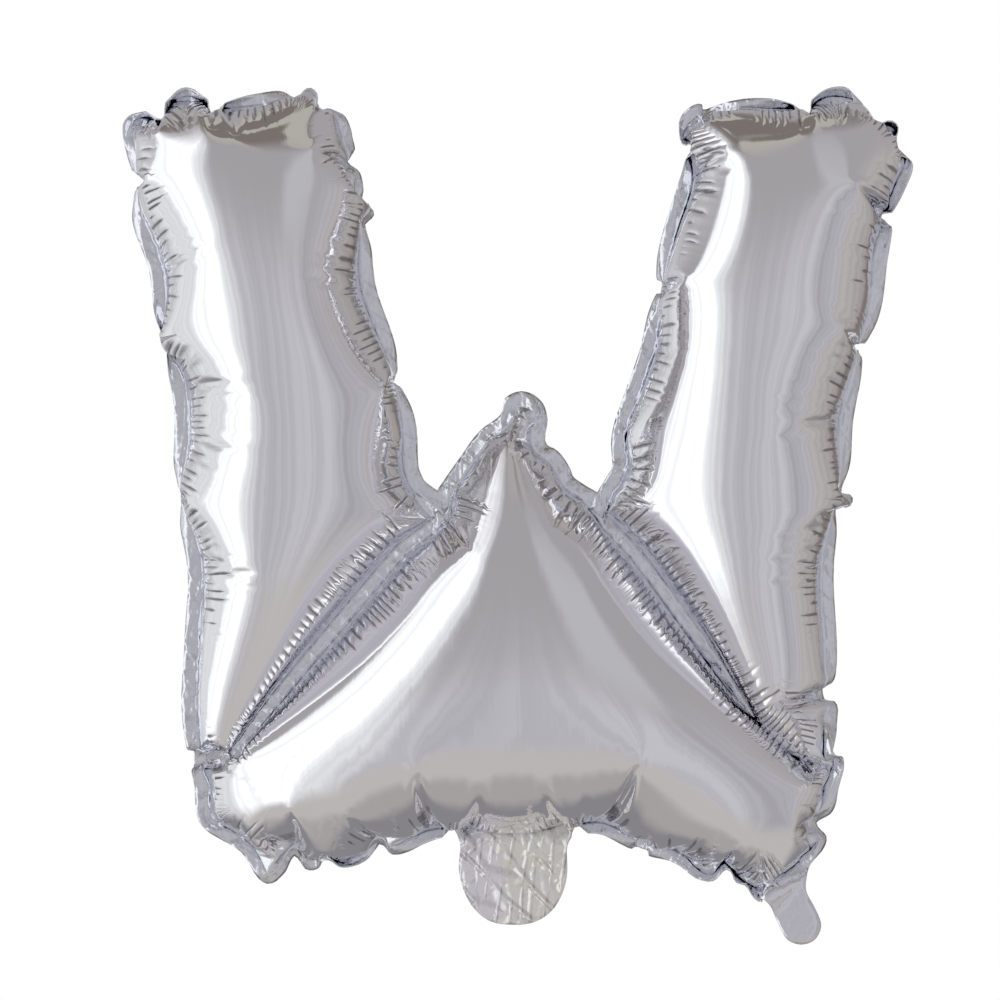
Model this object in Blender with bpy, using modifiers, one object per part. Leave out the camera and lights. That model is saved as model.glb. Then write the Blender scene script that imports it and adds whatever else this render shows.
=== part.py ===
"""A foil letter balloon, inflated: two dished film panels, heat-sealed together round their edge.

Frame: +Z up, +X to the right as the letter is read, -Y towards the reader.
The origin is the middle of the letter, on the plane of the seam. Metres throughout.
"""
import math

import bmesh
import bpy
import numpy as np
from mathutils import Vector
from mathutils.geometry import delaunay_2d_cdt

# Film and seal
FILM = 0.0012  # wall of a panel: foil is far thinner, and this is the least that stays a robust solid
GAP = 0.0003  # clearance between pieces that touch
SEAL_WIDTH = 0.0065  # heat-sealed band outside the seam
SEAL_LAP = 0.0024  # how far the band reaches in under the panels' walls
SEAL_THICK = 0.0012
WEB_WIDTH = 0.0060  # flat strip between a leg and the middle

# The seam line, from the bottom middle, clockwise as read, as (x, z). The small steps in at
# the sides and tops are where the filled film pinches.
LETTER = [
    (0.000, -0.1455), (-0.029, -0.1455), (-0.044, -0.152), (-0.058, -0.159), (-0.072, -0.165),
    (-0.092, -0.165), (-0.110, -0.167), (-0.121, -0.157), (-0.134, -0.145), (-0.138, -0.125),
    (-0.142, -0.108), (-0.142, -0.076), (-0.141, -0.029), (-0.145, -0.002), (-0.148, 0.012),
    (-0.149, 0.047), (-0.151, 0.069), (-0.155, 0.082), (-0.157, 0.106), (-0.164, 0.134),
    (-0.166, 0.145), (-0.170, 0.158), (-0.168, 0.171), (-0.146, 0.178), (-0.133, 0.175),
    (-0.103, 0.180), (-0.090, 0.177), (-0.081, 0.172), (-0.075, 0.154), (-0.073, 0.141),
    (-0.071, 0.120), (-0.068, 0.092), (-0.059, 0.060), (-0.054, 0.046), (-0.050, 0.016),
    (-0.038, -0.004), (-0.027, 0.003), (-0.014, 0.021), (-0.004, 0.033), (0.002, 0.041),
    (0.008, 0.037), (0.013, 0.023), (0.024, 0.005), (0.041, -0.006), (0.051, 0.012),
    (0.053, 0.034), (0.062, 0.062), (0.064, 0.080), (0.063, 0.094), (0.067, 0.105),
    (0.076, 0.134), (0.077, 0.150), (0.078, 0.165), (0.087, 0.175), (0.110, 0.175),
    (0.129, 0.173), (0.146, 0.178), (0.164, 0.169), (0.165, 0.150), (0.164, 0.132),
    (0.159, 0.118), (0.156, 0.092), (0.155, 0.068), (0.151, 0.048), (0.146, 0.028),
    (0.143, 0.002), (0.140, -0.028), (0.142, -0.080), (0.141, -0.115), (0.136, -0.138),
    (0.137, -0.152), (0.133, -0.160), (0.121, -0.163), (0.109, -0.171), (0.095, -0.169),
    (0.082, -0.168), (0.069, -0.160), (0.055, -0.157), (0.042, -0.148), (0.027, -0.1455),
]
# The flat strips between the legs and the middle, each from where its leg meets the peak
WEB_LINES = [
    [(-0.038, -0.004), (-0.045, -0.015), (-0.128, -0.113)],
    [(0.041, -0.006), (0.049, -0.018), (0.129, -0.117)],
]

# Mesh spacing
STEP = 0.011
RINGS = [0.0010, 0.0045]  # distances of the extra rings of points that carry the steep wall
GRID = 0.0025  # cell of the grid that the swell is worked out on
SWELL = 0.88  # how full the film is, against a round section
RIM_LIFT = 0.0004  # the least height of a panel's wall at the seam

# Filling neck: two films with the valve's film between them, hanging from the notch
NECK_WIDTH = 0.049
NECK_MIDDLE = -0.001
NECK_END = -0.1915  # height of its lower end
NECK_FILM = 0.0006
VALVE_INSET = 0.0030  # the valve's film is narrower than the neck by this much on each side

# Hanging tab: a fan at the right foot that narrows to a strip with a round end
TAB_ROOT = (0.109, -0.171), (0.133, -0.160)  # the stretch of the seam that it grows from
TAB_SIDES = [
    (0.1130, -0.1808), (0.1165, -0.1875), (0.1184, -0.1920), (0.1210, -0.1956), (0.1256, -0.1975),
    (0.1296, -0.1960), (0.1328, -0.1925), (0.1341, -0.1880), (0.1328, -0.1823), (0.1307, -0.1775),
]


def clear_scene():
    for obj in list(bpy.data.objects):
        bpy.data.objects.remove(obj)


def sides(line, half_width):
    """The two edges of a strip of that half width round a line, each as a list of points."""
    points = [Vector(p) for p in line]
    edges = ([], [])
    for k, point in enumerate(points):
        runs = []
        if k > 0:
            runs.append((point - points[k - 1]).normalized())
        if k < len(points) - 1:
            runs.append((points[k + 1] - point).normalized())
        along = sum(runs, Vector((0.0, 0.0))).normalized()
        across = Vector((-along.y, along.x)) * half_width / max(0.5, along.dot(runs[0]))
        edges[0].append(tuple(point + across))
        edges[1].append(tuple(point - across))
    return edges


def strip(line, half_width, steps=4):
    """The outline of a strip round a line, from its start, with a round far end."""
    left, right = sides(line, half_width)
    centre = (Vector(left[-1]) + Vector(right[-1])) / 2
    spoke = Vector(left[-1]) - centre
    onward = Vector(line[-1]) - Vector(line[-2])
    sign = 1 if spoke.cross(onward) > 0 else -1
    cap = []
    for k in range(1, steps):
        turn = sign * math.pi * k / steps
        cap.append((
            centre.x + spoke.x * math.cos(turn) - spoke.y * math.sin(turn),
            centre.y + spoke.x * math.sin(turn) + spoke.y * math.cos(turn),
        ))
    return left + cap + right[::-1]


def grown(outline, distance):
    """A closed outline moved outwards by a distance, with its corners mitred."""
    points = [Vector(p) for p in outline]
    turn = sum(a.cross(b) for a, b in zip(points, points[1:] + points[:1]))
    sign = 1.0 if turn > 0 else -1.0
    moved = []
    for k, point in enumerate(points):
        before = (point - points[k - 1]).normalized()
        after = (points[(k + 1) % len(points)] - point).normalized()
        normal_a = Vector((before.y, -before.x)) * sign
        normal_b = Vector((after.y, -after.x)) * sign
        middle = (normal_a + normal_b).normalized()
        moved.append(tuple(point + middle * distance / max(0.5, middle.dot(normal_a))))
    return moved


def resampled(outline, step):
    """Points along a closed outline, no further apart than about one step."""
    points = []
    for start, end in zip(outline, outline[1:] + outline[:1]):
        a, b = Vector(start), Vector(end)
        count = max(1, round((b - a).length / step))
        points += [tuple(a.lerp(b, k / count)) for k in range(count)]
    return points


def distance_to(points, outline):
    """The distance of each point from a closed outline."""
    nearest = np.full(len(points), np.inf)
    ring = np.array(outline)
    for a, b in zip(ring, np.roll(ring, -1, axis=0)):
        run = b - a
        share = np.clip((points - a) @ run / (run @ run), 0, 1)
        nearest = np.minimum(nearest, np.linalg.norm(points - a - share[:, None] * run, axis=1))
    return nearest


def within(points, outline):
    """Which points lie inside a closed outline."""
    x, z = points[:, 0], points[:, 1]
    found = np.zeros(len(points), bool)
    ring = np.array(outline)
    for (xa, za), (xb, zb) in zip(ring, np.roll(ring, -1, axis=0)):
        if za == zb:
            continue
        found ^= ((za > z) != (zb > z)) & (x < (xb - xa) * (z - za) / (zb - za) + xa)
    return found


def seam_line():
    """The line where the panels are welded: the letter, with a slit down each side of the middle."""
    forks = {line[0]: line for line in WEB_LINES}
    seam = []
    for point in LETTER:
        if point in forks:
            slit = strip(forks[point], WEB_WIDTH / 2)
            seam += slit if math.dist(slit[0], seam[-1]) < math.dist(slit[-1], seam[-1]) else slit[::-1]
        else:
            seam.append(point)
    return seam


def swell(outline, points):
    """How far gas pushes a film out over each point of an outline.

    The rise u of a stretched skin solves laplace(u) = -1 with u = 0 on the outline, and
    sqrt(2 u) is then a half circle over a long strip, which is how a filled tube of film stands.
    u / distance is smooth up to the outline, so that is what is read from the grid.
    """
    low = np.min(outline, axis=0) - 2 * GRID
    counts = np.ceil((np.max(outline, axis=0) + 2 * GRID - low) / GRID).astype(int) + 1
    cells = np.stack(np.meshgrid(*(np.arange(n) for n in counts), indexing="ij"), -1)
    centres = low + cells.reshape(-1, 2) * GRID
    inside = within(centres, outline).reshape(counts)
    rise = np.zeros(counts)
    for _ in range(3000):
        around = (
            np.roll(rise, 1, 0) + np.roll(rise, -1, 0) + np.roll(rise, 1, 1) + np.roll(rise, -1, 1)
        )
        rise = np.where(inside, (around + GRID**2) / 4, 0)
    edge = distance_to(centres, outline).reshape(counts)
    trusted = inside & (edge > 1.5 * GRID)
    ratio = np.where(trusted, rise / np.maximum(edge, GRID), 0)
    for _ in range(6):
        weight = sum(np.roll(trusted, s, a) for s in (1, -1) for a in (0, 1))
        total = sum(np.roll(ratio, s, a) for s in (1, -1) for a in (0, 1))
        grow = ~trusted & (weight > 0)
        ratio[grow] = total[grow] / weight[grow]
        trusted = trusted | grow
    place = (points - low) / GRID
    cell = np.clip(place.astype(int), 0, counts - 2)
    fx, fz = (place - cell).T
    i, j = cell.T
    read = (
        ratio[i, j] * (1 - fx) * (1 - fz) + ratio[i + 1, j] * fx * (1 - fz)
        + ratio[i, j + 1] * (1 - fx) * fz + ratio[i + 1, j + 1] * fx * fz
    )
    return SWELL * np.sqrt(2 * read * distance_to(points, outline))


def plan_mesh(outline):
    """Points and triangles that fill an outline: rings along it, and an even lattice inside."""
    ring = resampled(outline, STEP)
    edges = [(k, (k + 1) % len(ring)) for k in range(len(ring))]
    points = np.array(ring)
    for depth in RINGS:
        inner = np.array(grown(ring, -depth))
        clear = within(inner, outline) & (distance_to(inner, outline) > 0.8 * depth)
        points = np.vstack([points, inner[clear]])
    low, high = points.min(0), points.max(0)
    rows = math.ceil((high[1] - low[1]) / (STEP * math.sin(math.pi / 3)))
    columns = math.ceil((high[0] - low[0]) / STEP) + 1
    lattice = np.array([
        (low[0] + (c + r % 2 / 2) * STEP, low[1] + r * STEP * math.sin(math.pi / 3))
        for r in range(rows) for c in range(columns)
    ])
    lattice = lattice[within(lattice, outline)]
    lattice = lattice[distance_to(lattice, outline) > RINGS[-1] + 0.6 * STEP]
    points = np.vstack([points, lattice])
    flat, _, faces, *_ = delaunay_2d_cdt([Vector(p) for p in points], edges, [], 0, 1e-7)
    flat = np.array([tuple(p) for p in flat])
    faces = [f for f in faces if within(flat[list(f)].mean(0)[None], outline)[0]]
    return flat, faces


def material(name, colour, metallic, roughness):
    made = bpy.data.materials.new(name)
    made.use_nodes = True
    shader = made.node_tree.nodes["Principled BSDF"]
    shader.inputs["Base Color"].default_value = (*colour, 1)
    shader.inputs["Metallic"].default_value = metallic
    shader.inputs["Roughness"].default_value = roughness
    return made


def panel(name, side, outline, finish, into):
    """One dished film panel: side is -1 for the front and 1 for the back."""
    flat, faces = plan_mesh(outline)
    depth = SEAL_THICK / 2 + GAP + RIM_LIFT + swell(outline, flat)
    mesh = bpy.data.meshes.new(name)
    shape = bmesh.new()
    corners = [shape.verts.new((x, side * y, z)) for (x, z), y in zip(flat, depth)]
    for face in faces:
        shape.faces.new([corners[k] for k in face])
    bmesh.ops.recalc_face_normals(shape, faces=shape.faces)
    outward = sum(f.normal.y * f.calc_area() for f in shape.faces)
    if outward * side < 0:
        bmesh.ops.reverse_faces(shape, faces=shape.faces)
    shape.to_mesh(mesh)
    shape.free()
    obj = bpy.data.objects.new(name, mesh)
    wall = obj.modifiers.new("wall", "SOLIDIFY")
    wall.thickness = FILM
    wall.offset = -1
    into.objects.link(obj)

    # The wall's inner edge is held clear of the seal
    solid = bpy.data.meshes.new_from_object(obj.evaluated_get(bpy.context.evaluated_depsgraph_get()))
    obj.modifiers.clear()
    obj.data = solid
    for vertex in solid.vertices:
        vertex.co.y = side * max(side * vertex.co.y, SEAL_THICK / 2 + GAP)
    solid.shade_smooth()
    solid.materials.append(finish)
    return obj


def flat_piece(name, outlines, thickness, middle_y, finish, into):
    """A flat piece cut from film: the first outline is its edge, and any others are holes."""
    curve = bpy.data.curves.new(name, "CURVE")
    curve.dimensions = "2D"
    curve.fill_mode = "BOTH"
    curve.extrude = thickness / 2
    for outline in outlines:
        spline = curve.splines.new("POLY")
        spline.points.add(len(outline) - 1)
        for point, (x, z) in zip(spline.points, outline):
            point.co = (x, z, 0, 1)
        spline.use_cyclic_u = True
    curve.materials.append(finish)
    obj = bpy.data.objects.new(name, curve)
    obj.rotation_euler = (math.pi / 2, 0, 0)
    obj.location = (0, middle_y, 0)
    into.objects.link(obj)
    return obj


def round_ended(width, length, top, steps=10):
    """The outline of a strip that hangs from z = top and ends in a half circle."""
    radius = width / 2
    turn = [math.pi * k / steps for k in range(steps + 1)]
    arc = [
        (NECK_MIDDLE - radius * math.cos(a), top - length + radius - radius * math.sin(a)) for a in turn
    ]
    return [(NECK_MIDDLE - radius, top), *arc, (NECK_MIDDLE + radius, top)]


def web_outline(line):
    """The flat strip between a leg and the middle, reaching in under the walls beside it."""
    start, bend = (Vector(p) for p in line[:2])
    clear = 2 * SEAL_LAP + 2 * GAP
    top = start.lerp(bend, clear / (bend - start).length)
    return strip([top, *line[1:]], WEB_WIDTH / 2 + SEAL_LAP)


def neck_pieces(finish, clear_finish, into):
    """The filling neck: a front and a back film over the edge seal, and the valve's film below it."""
    top = LETTER[0][1] - GAP
    for name, side in (("neck_front_film", -1), ("neck_back_film", 1)):
        outline = round_ended(NECK_WIDTH, top - NECK_END, top)
        middle = side * (SEAL_THICK / 2 + GAP + NECK_FILM / 2)
        flat_piece(name, [outline], NECK_FILM, middle, finish, into)
    below = top - SEAL_WIDTH
    inner = round_ended(NECK_WIDTH - 2 * VALVE_INSET, below - NECK_END - VALVE_INSET, below)
    flat_piece("valve_film", [inner], SEAL_THICK, 0, clear_finish, into)


def hanging_tab(finish, into):
    """The tab: its root follows the outer edge of the seal at the right foot."""
    rim = grown(LETTER, SEAL_WIDTH + GAP)
    first, last = sorted(LETTER.index(p) for p in TAB_ROOT)
    root = sorted(rim[first:last + 1])
    flat_piece("hanging_tab", [TAB_SIDES + root[::-1]], SEAL_THICK, 0, finish, into)


def main():
    clear_scene()
    parts = bpy.data.collections.new("foil_letter_balloon")
    bpy.context.scene.collection.children.link(parts)
    foil = material("silver_foil", (0.87, 0.87, 0.89), 1.0, 0.08)
    sealed = material("sealed_foil", (0.80, 0.81, 0.84), 1.0, 0.15)
    clear = material("valve_film", (0.86, 0.87, 0.82), 0.3, 0.25)

    seam = seam_line()
    panel("front_panel", -1, seam, foil, parts)
    panel("back_panel", 1, seam, foil, parts)
    band = [grown(LETTER, SEAL_WIDTH), grown(LETTER, -SEAL_LAP)]
    flat_piece("edge_seal", band, SEAL_THICK, 0, sealed, parts)
    for name, line in zip(("web_seal_left", "web_seal_right"), WEB_LINES):
        flat_piece(name, [web_outline(line)], SEAL_THICK, 0, sealed, parts)
    neck_pieces(foil, clear, parts)
    hanging_tab(sealed, parts)


main()
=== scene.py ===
# %% [markdown]
# # A silver foil letter balloon
#
# The real thing is two flat sheets of silvered film, cut to one outline and welded together along
# a narrow band. Gas swells them. Flat film can't stretch, so it draws in, its straight edges break
# into lobes, and creases run in from the pinches between the lobes.
#
# We could sculpt that by hand, but it never looks right, because each crease is the answer to
# a small sum about area. So this script cuts the same flat sheets, welds them, and blows them up.

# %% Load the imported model
import math

import bmesh
import bpy
import numpy as np
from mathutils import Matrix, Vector
from mathutils.geometry import delaunay_2d_cdt


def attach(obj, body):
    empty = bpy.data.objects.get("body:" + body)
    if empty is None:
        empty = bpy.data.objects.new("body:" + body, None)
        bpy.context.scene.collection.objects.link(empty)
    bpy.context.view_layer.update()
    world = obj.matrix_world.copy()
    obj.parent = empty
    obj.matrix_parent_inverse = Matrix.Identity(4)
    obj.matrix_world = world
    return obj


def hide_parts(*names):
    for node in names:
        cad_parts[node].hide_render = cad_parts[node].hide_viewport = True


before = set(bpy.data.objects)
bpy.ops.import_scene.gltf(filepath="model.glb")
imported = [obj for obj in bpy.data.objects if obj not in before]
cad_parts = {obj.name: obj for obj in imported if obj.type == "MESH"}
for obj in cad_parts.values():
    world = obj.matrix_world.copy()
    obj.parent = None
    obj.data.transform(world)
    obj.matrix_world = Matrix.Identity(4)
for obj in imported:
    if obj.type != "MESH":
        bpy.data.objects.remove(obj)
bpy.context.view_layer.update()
print("nodes:", sorted(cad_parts))

# %% [markdown]
# ## The camera
#
# The picture was taken level and square on, from far enough away that the letter shows no
# perspective to speak of. A 120 mm lens at 1.5 m gives that, and 0.45 mm of the balloon to a pixel.

# %% Place the camera
PICTURE = 1000  # pixels across
PIXEL = 0.00045  # metres of balloon to a pixel
MIDDLE_COLUMN = 519  # the pixel column that the letter's middle stands in
CAMERA_AWAY = 1.5
SENSOR = 36  # millimetres across

lens = bpy.data.cameras.new("camera")
lens.sensor_width = SENSOR
lens.lens = SENSOR * CAMERA_AWAY / (PICTURE * PIXEL)
camera = bpy.data.objects.new("camera", lens)
camera.location = ((PICTURE / 2 - MIDDLE_COLUMN) * PIXEL, -CAMERA_AWAY, 0)
camera.rotation_euler = (math.radians(90), 0, 0)
bpy.context.scene.collection.objects.link(camera)
bpy.context.scene.camera = camera
bpy.context.scene.view_settings.view_transform = "Standard"
print("lens:", lens.lens, "mm")

# %% [markdown]
# ## The cut outline
#
# A mirror-like balloon is judged by its outline, so the flat cut is given point by point. Each
# point is in millimetres, on the outer edge of the weld, and goes round from the bottom middle.
# Longer rows are pinches: how far to each side the film is gathered, the share of that width
# that is left once it is gathered, and the side that the fold goes to. The two crotches are where
# the slits between the legs and the middle start. Seam rows are on the weld alone, and edge rows
# on the cut alone, where the tab and the neck run on past the weld.

# %% The flat cut, in millimetres
CUT = [
    (-2.3, -210.3, "seam"), (-37.7, -205.8, 8, 0.5, -1), (-50.3, -203.4), (-71.1, -206.3),
    (-77.6, -202.9, 6, 0.7, 1), (-95.9, -206.0), (-107.9, -201.7, 6, 0.7, -1), (-120.3, -199.9),
    (-126.5, -191.0, 6, 0.7, 1), (-144.1, -193.2), (-150.1, -176.0), (-163.9, -156.5), (-164.7, -133.8),
    (-170.8, -120.4, 8, 0.6, -1), (-179.8, -93.2), (-184.5, -59.5), (-188.7, -23.4),
    (-200.8, 8.0, 10, 0.4, 1), (-195.2, 37.1), (-195.4, 64.2), (-203.6, 85.8, 10, 0.4, -1),
    (-195.9, 122.8), (-197.5, 150.6), (-196.1, 169.5, 8, 0.6, 1), (-189.6, 186.2), (-185.2, 200.9),
    (-168.7, 207.4, 8, 0.6, -1), (-152.3, 215.9), (-131.9, 213.3, 10, 0.5, -1), (-109.8, 210.1),
    (-89.8, 209.3), (-80.5, 206.6, 8, 0.6, -1), (-68.0, 195.2), (-61.0, 182.8), (-53.8, 170.1, 6, 0.7, 1),
    (-47.5, 155.8), (-46.6, 139.2, 8, 0.5, -1), (-47.6, 103.9), (-43.6, 83.6), (-37.5, 55.4, 10, 0.4, 1),
    (-40.6, 27.2), (-45.1, 4.1), (-41.3, -2.9, "crotch"), (-29.3, 8.3), (-16.5, 20.3), (-7.0, 26.0),
    (-5.2, 32.9), (2.0, 36.1), (11.9, 32.4), (16.7, 25.1), (18.4, 16.3), (27.4, 9.6), (37.4, -1.6),
    (45.7, -6.5, "crotch"), (47.3, 6.0), (44.1, 20.1), (43.9, 45.9), (44.4, 65.6),
    (41.2, 97.1, 10, 0.4, 1), (48.0, 130.5), (52.7, 151.0), (52.8, 167.5, 7, 0.6, -1), (53.2, 183.2),
    (59.4, 192.7), (70.2, 195.4, 7, 0.6, 1), (87.5, 201.3), (105.4, 206.1), (117.2, 209.9, 10, 0.5, -1),
    (134.3, 214.0), (156.6, 210.2), (173.1, 202.1, 7, 0.6, 1), (185.7, 187.0), (189.0, 172.4),
    (194.4, 152.4, 10, 0.4, -1), (193.9, 134.7), (198.5, 101.9), (198.3, 82.9, 10, 0.4, 1), (193.9, 47.2),
    (196.1, 22.2), (197.1, 5.8, 10, 0.4, -1), (188.0, -25.2), (184.7, -61.5), (181.3, -89.6, 8, 0.5, 1),
    (177.7, -107.1), (168.8, -121.6, 7, 0.6, -1), (163.4, -147.0), (164.1, -157.8),
    (159.7, -166.6, 5, 0.7, 1), (161.1, -176.6), (154.8, -184.6), (152.8, -189.6, "edge"),
    (155.6, -198.4, "edge"), (162.4, -203.2, "edge"), (169.4, -209.4, "edge"), (169.7, -216.7, "edge"),
    (165.2, -221.3, "edge"), (159.1, -222.2, "edge"), (153.3, -218.9, "edge"), (143.9, -212.2, "edge"),
    (150.2, -194.1, "seam"), (133.0, -210.3, 7, 0.6, 1), (121.6, -210.3), (109.6, -209.5, 6, 0.7, -1),
    (101.2, -213.7), (81.6, -209.1), (63.9, -214.2, 8, 0.6, 1), (43.3, -204.1),
    (29.0, -206.5, 8, 0.5, -1), (20.0, -210.1, "edge"), (18.7, -225.5, "edge"), (16.6, -233.5, "edge"),
    (11.3, -241.8, "edge"), (3.9, -246.5, "edge"), (-6.0, -247.6, "edge"), (-16.3, -245.9, "edge"),
    (-22.9, -240.7, "edge"), (-27.1, -233.8, "edge"), (-30.0, -223.8, "edge"), (-30.5, -208.0, "edge"),
]
SLITS = [[(-63.0, -29.7), (-148.7, -113.7)], [(67.1, -33.7), (147.2, -125.3)]]
PINCHES = [row for row in CUT if len(row) == 5]
WELD = 7.0  # its width along the strokes
END_WELD = 5.5  # and across their ends
PINCH_WELD = 6.0
SLIT_WELD = 6.0
END_HEIGHT = 165  # the strokes end beyond this height, above and below
print(len(CUT), "points,", len(PINCHES), "pinches")


# %% Helpers that draw flat outlines
SHORTEST_MITRE = 0.45  # a sharper corner than this isn't drawn out any further
CURVE_PIECES = 4


def turn_area(outline):
    """The area inside an outline, negative where it goes round clockwise."""
    x, z = np.asarray(outline, float).T
    return 0.5 * np.sum(x * np.roll(z, -1) - z * np.roll(x, -1))


def beside(line, distance, closed=False):
    """A line's copy, moved sideways: outwards, where it is closed and goes round anticlockwise."""
    run = np.roll(line, -1, 0) - line if closed else np.diff(line, axis=0)
    run /= np.linalg.norm(run, axis=1)[:, None]
    across = np.stack([run[:, 1], -run[:, 0]], 1)
    before, after = np.roll(across, 1, 0), across
    if not closed:
        before, after = np.vstack([across[:1], across]), np.vstack([across, across[-1:]])
    middle = before + after
    middle /= np.linalg.norm(middle, axis=1)[:, None]
    reach = np.maximum(SHORTEST_MITRE, (middle * before).sum(1))
    return line + middle * (distance / reach)[:, None]


def curved(points, corner, values):
    """A smooth closed outline through the points that keeps its corners, with values carried along."""
    run = np.roll(points, -1, 0) - points
    length = np.linalg.norm(run, axis=1)[:, None]
    ahead, behind = run / length, np.roll(run / length, 1, 0)
    leave = np.where(corner[:, None], ahead, (ahead + behind) / 2) * length
    reach = np.where(np.roll(corner, -1)[:, None], ahead, (ahead + np.roll(ahead, -1, 0)) / 2) * length
    t = (np.arange(CURVE_PIECES) / CURVE_PIECES)[None, :, None]
    here, there = points[:, None], np.roll(points, -1, 0)[:, None]
    line = here * (2 * t**3 - 3 * t**2 + 1) + leave[:, None] * (t**3 - 2 * t**2 + t)
    line = line + there * (3 * t**2 - 2 * t**3) + reach[:, None] * (t**3 - t**2)
    flags = np.zeros((len(points), CURVE_PIECES), bool)
    flags[:, 0] = corner
    carried = values[:, None] * (1 - t[..., 0]) + np.roll(values, -1)[:, None] * t[..., 0]
    return line.reshape(-1, 2), flags.ravel(), carried.ravel()


def stepped(outline, corner, step):
    """Points evenly along a closed outline, about one step apart, that keep its corners."""
    first = int(np.argmax(corner))
    outline, corner = np.roll(outline, -first, 0), np.roll(corner, -first)
    starts = np.append(np.where(corner)[0], len(outline))
    ring, found = np.vstack([outline, outline[:1]]), []
    for a, b in zip(starts, starts[1:]):
        run = ring[a:b + 1]
        gone = np.append(0, np.cumsum(np.linalg.norm(np.diff(run, axis=0), axis=1)))
        places = np.linspace(0, gone[-1], max(1, int(round(gone[-1] / step))) + 1)[:-1]
        found.append(np.stack([np.interp(places, gone, run[:, axis]) for axis in (0, 1)], 1))
    return np.vstack(found)


print(f"corner to corner, the cut covers {abs(turn_area([row[:2] for row in CUT])) / 100:.0f} cm2")


# %% Helpers that place points by an outline
def within(points, outline):
    """Which points lie inside a closed outline."""
    x, z = points.T
    found = np.zeros(len(points), bool)
    for (xa, za), (xb, zb) in zip(outline, np.roll(outline, -1, 0)):
        found ^= ((za > z) != (zb > z)) & (x < (xb - xa) * (z - za) / (zb - za + 1e-12) + xa)
    return found


def seam_place(points, outline):
    """Each point's distance from an outline, how far round it that is, and the nearest place on it."""
    nearest, along, spot = np.full(len(points), 1e9), np.zeros(len(points)), points.astype(float)
    gone = 0.0
    for a, b in zip(outline, np.roll(outline, -1, 0)):
        run, length = b - a, np.linalg.norm(b - a)
        share = np.clip((points - a) @ run / (run @ run), 0, 1)
        there = a + share[:, None] * run
        away = np.linalg.norm(points - there, axis=1)
        closer = away < nearest
        nearest[closer], spot[closer] = away[closer], there[closer]
        along[closer] = gone + share[closer] * length
        gone += length
    return nearest, along, spot


first_pinch = np.array([PINCHES[0][:2]])
print("first pinch:", round(seam_place(first_pinch, np.array([row[:2] for row in CUT]))[1][0]), "mm round")

# %% [markdown]
# The gas stops at the inner edge of the weld. That line follows the cut, and at each crotch it
# runs down and back up round the slit's own strip of weld.
#
# The weld shows as a row of crescents, widest in the middle of each lobe, because at a pinch it is
# folded away behind itself. It is narrower across the ends of the strokes than along them.

# %% The line where the gas stops
def weld_width(row):
    if row in PINCHES:
        return PINCH_WELD
    at_end = row[1] > END_HEIGHT or (row[1] < -END_HEIGHT and "seam" not in row)
    return END_WELD if at_end else WELD


def curve_of(rows, widths):
    """The smooth outline through rows of the cut, with corners at pinches and crotches."""
    sharp = np.array([row in PINCHES or "crotch" in row for row in rows])
    return curved(np.array([row[:2] for row in rows]), sharp, widths)


def seam_and_rim():
    """The seam, the gas's edge without slits, the weld's outer edge, and the cut, each with its corners."""
    rows = [row for row in CUT if "edge" not in row]
    weld, corner, widths = curve_of(rows, np.array([weld_width(row) for row in rows]))
    inner = beside(weld[::-1], -widths[::-1], closed=True)[::-1]
    forks = [CURVE_PIECES * k for k, row in enumerate(rows) if "crotch" in row]
    slits, seam, kept = list(SLITS), [], []
    for k, point in enumerate(inner):
        if k not in forks:
            seam.append(point)
            kept.append(corner[k])
            continue
        line = np.array([point, *slits.pop(0)])
        near, far = beside(line, SLIT_WELD / 2), beside(line, -SLIT_WELD / 2)
        before = inner[k - CURVE_PIECES]
        if np.linalg.norm(near[0] - before) > np.linalg.norm(far[0] - before):
            near, far = far, near
        onward = (line[-1] - line[-2]) / np.linalg.norm(line[-1] - line[-2])
        round_slit = [*near, line[-1] + onward * SLIT_WELD / 2, *far[::-1]]
        seam += round_slit
        kept += [True] * len(round_slit)
    rows = [row for row in CUT if "seam" not in row]
    rim, rim_corner, _ = curve_of(rows, np.zeros(len(rows)))
    outlines = ((np.array(seam), np.array(kept)), (inner, corner), (weld, corner), (rim, rim_corner))
    return [(line[::-1], flags[::-1]) for line, flags in outlines]


(SEAM, SEAM_CORNERS), (GAS_EDGE, _), (WELD_EDGE, _), (RIM, RIM_CORNERS) = seam_and_rim()
wide, tall = np.ptp(RIM, axis=0)
print(f"flat cut {wide:.0f} x {tall:.0f} mm, {turn_area(RIM) * 1e-6:.4f} m2 a sheet")


# %% [markdown]
# ## Film, in triangles
#
# Both sheets start as one flat mesh of even triangles that has the seam and the rim as edges.
# Even triangles matter, because film that is stiffer one way than the other creases along
# the mesh and not along the load. Blender's own constrained Delaunay fills an outline that way.

# %% Fill the cut with triangles
STEP = 8.0  # the side of the first triangles
LATTICE_CLEAR = 0.62  # the least way from an outline to the lattice, in steps


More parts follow.
